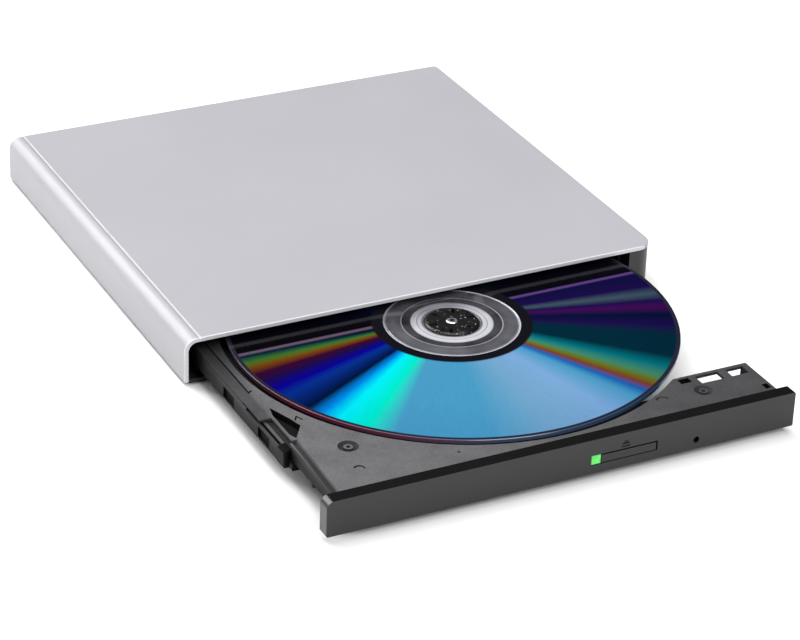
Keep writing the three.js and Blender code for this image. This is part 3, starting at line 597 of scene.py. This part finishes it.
def rrect(x0, x1, y0, y1, r, n=6):
    a, b, c, d = r if isinstance(r, (list, tuple)) else (r,) * 4
    h = math.pi / 2
    pts = []
    for (cx, cy, rr, s) in ((x0 + a, y0 + a, a, 2 * h), (x1 - b, y0 + b, b, 3 * h), (x1 - c, y1 - c, c, 0), (x0 + d, y1 - d, d, h)):
        pts += arc(cx, cy, rr, s, s + h, n) if rr else [(cx, cy)]
    return pts


def tmp(bm):
    o = bpy.data.objects.new("tmp", from_bm(bm))
    scene.collection.objects.link(o)
    return o


def boolean(o, cutters, op="DIFFERENCE"):
    for c in cutters:
        m = o.modifiers.new("b", "BOOLEAN")
        m.operation, m.solver, m.object = op, "EXACT", c
    apply_mods(o)
    for c in cutters:
        bpy.data.objects.remove(c)


def box_bm(x0, x1, y0, y1, z0, z1):
    return outline_bm([(x0, y0), (x1, y0), (x1, y1), (x0, y1)], z0, z1)


def lathe_bm(profile, n=96, centre=(0, 0), closed=False):
    """Turns a profile of (radius, z) points in mm about the vertical through centre."""
    bm = bmesh.new()
    rings = []
    for r, z in profile:
        if r < 1e-6:
            rings.append([bm.verts.new(P(centre[0], centre[1], z))])
        else:
            rings.append([bm.verts.new(P(centre[0] + r * math.cos(2 * math.pi * i / n), centre[1] + r * math.sin(2 * math.pi * i / n), z)) for i in range(n)])
    pairs = list(zip(rings, rings[1:])) + ([(rings[-1], rings[0])] if closed else [])
    for a, b in pairs:
        for i in range(n):
            j = (i + 1) % n
            if len(a) == 1 and len(b) == 1:
                continue
            if len(a) == 1:
                bm.faces.new((a[0], b[i], b[j]))
            elif len(b) == 1:
                bm.faces.new((a[i], b[0], a[j]))
            else:
                bm.faces.new((a[i], b[i], b[j], a[j]))
    return bm


def finish_edges(o, width=0.15, angle=30, segments=2, shade=35):
    """Dissolves the flat triangulation, rounds every sharp edge a little and shades the rest smooth."""
    bm = bmesh.new()
    bm.from_mesh(o.data)
    bmesh.ops.remove_doubles(bm, verts=bm.verts, dist=2e-6)
    bmesh.ops.dissolve_limit(bm, angle_limit=math.radians(1.0), verts=bm.verts, edges=bm.edges)
    for f in bm.faces:
        f.smooth = True
    bm.to_mesh(o.data)
    bm.free()
    b = o.modifiers.new("bevel", "BEVEL")
    b.width, b.segments, b.limit_method, b.angle_limit = width * MM, segments, "ANGLE", math.radians(angle)
    b.harden_normals = False
    b.use_clamp_overlap = True
    apply_mods(o)
    for p in o.data.polygons:
        p.use_smooth = True
    o.data.set_sharp_from_angle(angle=math.radians(shade))
    w = o.modifiers.new("wn", "WEIGHTED_NORMAL")
    w.keep_sharp = True
    apply_mods(o)


def polish(name, mat, width=0.12, angle=35):
    """A CAD node that stays: its triangles are merged, its edges are eased and it gets its material."""
    o = NODES[name]
    o.data.materials.clear()
    o.data.materials.append(mat)
    if hasattr(o.data, "attributes") and "custom_normal" in o.data.attributes:
        o.data.attributes.remove(o.data.attributes["custom_normal"])
    for p in o.data.polygons:
        p.use_smooth = True
    w = o.modifiers.new("weld", "WELD")
    w.merge_threshold = 2e-6
    d = o.modifiers.new("flat", "DECIMATE")
    d.decimate_type = "DISSOLVE"
    d.angle_limit = math.radians(1.0)
    if width:
        b = o.modifiers.new("bevel", "BEVEL")
        b.width, b.segments, b.limit_method, b.angle_limit = width * MM, 2, "ANGLE", math.radians(angle)
        b.use_clamp_overlap = True
    wn = o.modifiers.new("wn", "WEIGHTED_NORMAL")
    wn.keep_sharp = True
    return o


# ------------------------------------------------------------------ top cover
def make_cover():
    """One plate folded down along the left edge. The section is swept from front to back, with
    softly broken edges, then trimmed to the plan outline with its rounded front right corner."""
    zi, ri, t = TOP - COVER_T, COVER_R - 1.2, 1.2
    sec = [(-HX, 0.9), (-HX + t, 0.9)]
    sec += [(x, z) for x, z in arc(-HX + COVER_R, TOP - COVER_R, ri, math.pi, math.pi / 2, 12)]
    sec += [(HX + 1, zi), (HX + 1, TOP)]
    cx = -HX + COVER_R
    # a fine crease where the flat plate meets the rounding
    sec += [(cx + 1.2, TOP), (cx + 1.05, TOP - 0.03), (cx + 0.78, TOP - 0.19), (cx + 0.66, TOP - 0.21), (cx + 0.5, TOP - 0.19), (cx + 0.1, TOP - 0.03)]
    sec += arc(cx, TOP - COVER_R, COVER_R, math.pi / 2, math.pi, 20)
    bm = bmesh.new()
    a = [bm.verts.new(P(x, -1, z)) for x, z in sec]
    b = [bm.verts.new(P(x, CD + 1, z)) for x, z in sec]
    n = len(sec)
    bm.faces.new(a)
    bm.faces.new(b[::-1])
    for i in range(n):
        j = (i + 1) % n
        bm.faces.new((a[i], b[i], b[j], a[j]))
    bmesh.ops.recalc_face_normals(bm, faces=bm.faces)
    o = obj("cover_shell", from_bm(bm), M_SILVER, "case", replaces=["top_cover"])
    trim = tmp(outline_bm(rrect(-HX - 3, HX, 0, CD, [0, PLAN_R, 1.2, 0], 14), -1, 20))
    boolean(o, [trim], "INTERSECT")
    # two screw bosses inside the right-hand bay
    bosses = []
    for y in (16, 104):
        bosses.append(tmp(outline_bm(arc(65.3, y, 2.5, 0, 2 * math.pi, 32)[:-1], 3.6, zi + 0.3)))
    boolean(o, bosses, "UNION")
    boolean(o, [tmp(outline_bm(arc(65.3, y, 1.15, 0, 2 * math.pi, 24)[:-1], 2, 10.4)) for y in (16, 104)])
    finish_edges(o, 0.34, 32, 3, 40)
    return o


make_cover()

# ------------------------------------------------------------------ bezel with its eject sign
def copy_node(name, new):
    me = NODES[name].data.copy()
    if "custom_normal" in me.attributes:
        me.attributes.remove(me.attributes["custom_normal"])
    me.materials.clear()
    o = bpy.data.objects.new(new, me)
    scene.collection.objects.link(o)
    o.matrix_world = NODES[name].matrix_world.copy()
    return o


def xz_prism(pts, y0, y1):
    bm = bmesh.new()
    a = [bm.verts.new(P(x, y0, z)) for x, z in pts]
    b = [bm.verts.new(P(x, y1, z)) for x, z in pts]
    n = len(pts)
    bm.faces.new(a)
    bm.faces.new(b[::-1])
    for i in range(n):
        j = (i + 1) % n
        bm.faces.new((a[i], b[i], b[j], a[j]))
    bmesh.ops.recalc_face_normals(bm, faces=bm.faces)
    return bm


def make_bezel():
    o = copy_node("bezel", "bezel_front")
    o.data.materials.append(M_BEZEL)
    o.data.materials.append(M_MARK)
    cut = []
    for pts in ([(11.3, 8.75), (13.7, 8.75), (12.5, 9.95)], [(11.3, 7.98), (13.7, 7.98), (13.7, 8.38), (11.3, 8.38)]):
        t = tmp(xz_prism(pts, BY - 1, BY + 0.16))
        cut.append(t)
    boolean(o, cut)
    finish_edges(o, 0.2, 30, 2, 35)
    for p in o.data.polygons:
        c = p.center
        x, y, z = c.x / MM, c.y / MM - YOFF, c.z / MM
        p.material_index = 1 if 11.0 < x < 14.0 and 7.8 < z < 10.1 and BY + 0.1 < y < BY + 0.3 else 0
    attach(o, "drawer")
    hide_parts("bezel")
    return o


make_bezel()


# ------------------------------------------------------------------ disc with its moulded rings
def make_disc():
    z0, z1 = DZ0, DZ1
    prof = [(7.55, z0 + 0.06), (7.5, z0 + 0.12), (7.5, z1 - 0.12), (7.6, z1 - 0.03), (7.75, z1), (10.9, z1), (11.0, z1 - 0.04), (11.15, z1 - 0.04), (11.25, z1),
            (13.35, z1), (13.45, z1 + 0.03), (13.6, z1 + 0.03), (13.7, z1), (17.4, z1), (17.55, z1 - 0.12), (17.8, z1 - 0.12), (18.0, z1 + 0.02), (18.2, z1),
            (21.2, z1), (21.3, z1), (59.0, z1), (59.75, z1), (59.92, z1 - 0.06), (60.0, z1 - 0.16), (60.0, z0 + 0.14), (59.93, z0 + 0.05), (59.8, z0), (18.4, z0), (18.2, z0 - 0.0), (17.2, z0), (17.0, z0 + 0.05), (7.8, z0 + 0.02)]
    bm = lathe_bm(prof, 288, (SPX, SPY), closed=True)
    bmesh.ops.recalc_face_normals(bm, faces=bm.faces)
    me = from_bm(bm)
    o = obj("disc_body", me, [M_DISC, M_HUBRING, M_DEDGE], "spindle", replaces=["disc"])
    for p in o.data.polygons:
        c = p.center
        r = math.hypot(c.x / MM - SPX, c.y / MM - YOFF - SPY)
        p.material_index = 2 if r > 59.5 else (1 if r < 18.3 else 0)
    o.data.set_sharp_from_angle(angle=math.radians(28))
    return o


make_disc()


def make_cable():
    """The flat cable: a fixed run to the board's connector, and a free run towards the drawer that turns up at its
    front end.
    """
    bm = bmesh.new()
    for x0, x1, y0, y1, z0, z1 in ((20, 44.5, 80, 92, 2.55, 2.65), (44.4, 44.5, 80, 92, 2.65, 4.9)):
        bmesh.ops.create_cube(bm, size=1, matrix=Matrix.Translation(P((x0 + x1) / 2, (y0 + y1) / 2, (z0 + z1) / 2)) @ Matrix.Diagonal(((x1 - x0) * MM, (y1 - y0) * MM, (z1 - z0) * MM, 1)))
    n = 30
    low = [(92 - 46.5 * i / n, 2.55 + 0.25 * i / n) for i in range(n + 1)]
    top = [(y, z + 0.1) for y, z in low[:-1]]
    ring = low + [(45.5, 6.0), (45.6, 6.0), (45.6, 2.9)] + top[::-1]
    a = [bm.verts.new(P(10, y, z)) for y, z in ring]
    b = [bm.verts.new(P(22, y, z)) for y, z in ring]
    m = len(ring)
    for i in range(m):
        j = (i + 1) % m
        bm.faces.new((a[i], a[j], b[j], b[i]))
    for side in (a, b):
        for i in range(n - 1):
            bm.faces.new((side[i], side[i + 1], side[m - 2 - i], side[m - 1 - i]))
        bm.faces.new((side[n - 1], side[n], side[n + 3], side[n + 4]))
        bm.faces.new((side[n], side[n + 1], side[n + 2], side[n + 3]))
    bmesh.ops.recalc_face_normals(bm, faces=bm.faces)
    o = obj("cable", from_bm(bm), M_FLEX, None, smooth=False, replaces=["flex_cable"])
    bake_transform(o)
    return o


def make_claws():
    """The three sprung claws and three fixed tabs in the rim of the hub."""
    bm = bmesh.new()
    for i in range(6):
        a = math.radians(-90 + 60 * i)
        w0, w1 = (0.95, 1.15) if i % 2 == 0 else (0.6, 0.75)
        r0, r1 = (4.9, 7.15)
        lo, hi = [], []
        for r, w in ((r0, w0), (r1 - 0.35, w1), (r1, w1 * 0.82)):
            for sgn in (-1, 1):
                x, y = SPX + r * math.cos(a) - sgn * w * math.sin(a), SPY + r * math.sin(a) + sgn * w * math.cos(a)
                drop = 0.0 if r < r1 - 0.1 else 0.22
                lo.append(bm.verts.new(P(x, y, 11.05)))
                hi.append(bm.verts.new(P(x, y, 11.56 - drop)))
        for q in (0, 2):
            bm.faces.new((hi[q], hi[q + 2], hi[q + 3], hi[q + 1]))
            bm.faces.new((lo[q], lo[q + 1], lo[q + 3], lo[q + 2]))
            bm.faces.new((lo[q], lo[q + 2], hi[q + 2], hi[q]))
            bm.faces.new((lo[q + 1], hi[q + 1], hi[q + 3], lo[q + 3]))
        bm.faces.new((lo[0], hi[0], hi[1], lo[1]))
        bm.faces.new((lo[4], lo[5], hi[5], hi[4]))
    o = obj("hub_claws", from_bm(bm), M_BLACK, "spindle")
    finish_edges(o, 0.09, 30, 2, 35)


make_claws()
make_cable()

# the small crescent moulded on the tray's left front corner, drawn in the near-black painted pit shade
ring = arc(-54.0, -69.6, 1.45, math.radians(-20), math.radians(145), 14)
ring += arc(-54.0, -69.8, 1.1, math.radians(145), math.radians(-20), 14)
obj("tray_mark", from_bm(outline_bm(ring, LAND - 0.05, LAND + 0.04)), M_PIT_SHADE, "drawer")

# ------------------------------------------------------------------ floor, light, world
def stage():
    bm = bmesh.new()
    s = 3.0
    bm.faces.new([bm.verts.new(v) for v in ((-s, -s, 0), (s, -s, 0), (s, s, 0), (-s, s, 0))])
    me = from_bm(bm)
    o = bpy.data.objects.new("floor", me)
    scene.collection.objects.link(o)
    k = Mat("floor", (0.79, 0.79, 0.795, 1), 0.9)
    k.set("Specular IOR Level", 0.0)
    me.materials.append(k.m)


stage()


def area(name, loc, target, size, power, color=(1, 1, 1), sy=None):
    l = bpy.data.lights.new(name, "AREA")
    l.energy, l.color, l.shape, l.size = power, color, "RECTANGLE", size
    l.size_y = sy or size
    o = bpy.data.objects.new(name, l)
    scene.collection.objects.link(o)
    o.location = loc
    o.rotation_mode = "QUATERNION"
    o.rotation_quaternion = (Vector(target) - Vector(loc)).to_track_quat("-Z", "Y")
    return o


w = bpy.data.worlds.new("w")
scene.world = w
w.use_nodes = True
w.node_tree.nodes["Background"].inputs["Color"].default_value = (1, 1, 1, 1)
w.node_tree.nodes["Background"].inputs["Strength"].default_value = 0.02
area("overhead", (-0.1, 0.1, 1.15), (0, 0.0, 0), 1.1, 14.4)
area("back_key", (-0.42, 0.85, 0.85), (0, 0, 0), 0.8, 12.2)
area("back_left", (-0.75, 1.0, 0.42), (0, 0, 0), 0.7, 4, sy=0.5)
area("left", (-1.2, -0.1, 0.55), (0, 0, 0), 0.9, 2.3)
area("front_high", (0.1, -1.0, 0.9), (0, 0, 0), 0.7, 15.8)
scene.view_settings.view_transform = "Standard"
scene.view_settings.look = "None"

# ------------------------------------------------------------------ CAD nodes that stay
POLISH = {
    "bottom_case": (M_CASE, 0.2), "tray": (M_TRAY, 0.15),
    "slide_rail_left": (M_RAIL, 0.12), "rail_stop_left": (M_STOP, 0.35), "slide_rail_right": (M_RAIL, 0.12),
    # painted shade inside the mouth: the chassis gets the darkened steel and the left rail guide the black stop
    # plastic
    "drive_chassis": (M_SHADED_STEEL, 0.08), "chassis_lid": (M_BLACK, 0.05),
    "rail_guide_left": (M_STOP, 0.1), "rail_guide_right": (M_NYLON, 0.1),
    "main_board": (M_PCB, 0.05), "controller_chip": (M_CHIP, 0.08), "motor_driver_chip": (M_CHIP, 0.08), "board_connector": (M_NYLON, 0.08),
    "usb_board": (M_PCB, 0.05), "usb_socket": (M_STEEL, 0.06), "ejector_housing": (M_NYLON, 0.1),
    "latch_post": (M_BRIGHT, 0.1), "led_light_pipe": (M_LED, 0.06), "front_board": (M_PCB, 0.05), "eject_switch": (M_CHIP, 0.08),
    "eject_button": (M_BEZEL, 0.12), "tray_bottom_cover": (M_STEEL, 0.05), "latch_solenoid": (M_COPPER, 0.1),
    "traverse_base": (M_STEEL, 0.06), "guide_rod_main": (M_BRIGHT, 0.1), "guide_rod_sub": (M_BRIGHT, 0.1),
    "sled_motor": (M_STEEL, 0.12), "sled_motor_bracket": (M_STEEL, 0.05), "lead_screw_bearing": (M_NYLON, 0.1), "lead_screw": (M_BRIGHT, 0),
    "pickup_sled": (M_BLACK, 0.12), "sled_nut": (M_NYLON, 0.08), "lens_holder": (M_NYLON, 0.08), "lens": (M_LENS, 0),
    "traverse_cover": (M_BLACK, 0.05), "spindle_stator": (M_COPPER, 0.1), "spindle_rotor": (M_TIP, 0.08), "turntable_pad": (M_RUBBER, 0.08),
    "hub_cap": (M_HUB, 0.1), "latch_lever": (M_NYLON, 0.08), "latch_pin": (M_BRIGHT, 0.05), "emergency_slider": (M_NYLON, 0.08),
}
for n in NODES:
    if n.startswith(("case_screw", "drive_screw", "damper_screw")):
        POLISH[n] = (M_BRIGHT, 0.06)
    elif n.startswith(("foot_", "damper_")):
        POLISH[n] = (M_RUBBER, 0.12)
for n, (m, wd) in POLISH.items():
    if not NODES[n].hide_render:
        polish(n, m, wd)


def darken(name, mat, boxes):
    """The faces of a kept node whose middle lies in one of the boxes (mm) get a second material."""
    me = NODES[name].data
    me.materials.append(mat)
    last = len(me.materials) - 1
    for p in me.polygons:
        c = p.center
        q = (c.x / MM, c.y / MM - YOFF, c.z / MM)
        if any(all(b[2 * i] < q[i] < b[2 * i + 1] for i in range(3)) for b in boxes):
            p.material_index = last


# painted shade: the slots, pockets and grooves of the left rail and the tray get the near-black pit shade; the two
# boss dishes and the groove along the left front get the darker tray_shade grey
darken("slide_rail_left", M_PIT_SHADE, [(-66.4, -65.7, -22.6, -16.5, 5.5, 8.0), (-66.4, -65.7, -44.4, -38.1, 5.5, 8.0), (-66.0, -65.4, -49.6, -30, 8.0, 9.2)])
darken("tray", M_PIT_SHADE, [(38.8, 42.1, -65.6, -63.2, 5, 10.2), (57.5, 59.3, -76.1, -73.6, 5.5, 10.2), (-64.1, -63.4, -27, 46, 9.7, 10.3), (-64.2, -62.5, -26.5, -25.0, 9.7, 10.3),
                         (-62.7, -58.4, -51, -34.8, 8.5, 10.2), (-59.0, -56.5, -43.6, -41, 9.8, 10.4)])
darken("tray", M_TRAYDIM, [(-54.9, -49.1, -62.1, -56.3, 9.6, 10.3), (39.7, 45.1, -73.0, -67.6, 9.6, 10.3), (-64.25, -61.6, -78.8, -52, 9.3, 10.1)])
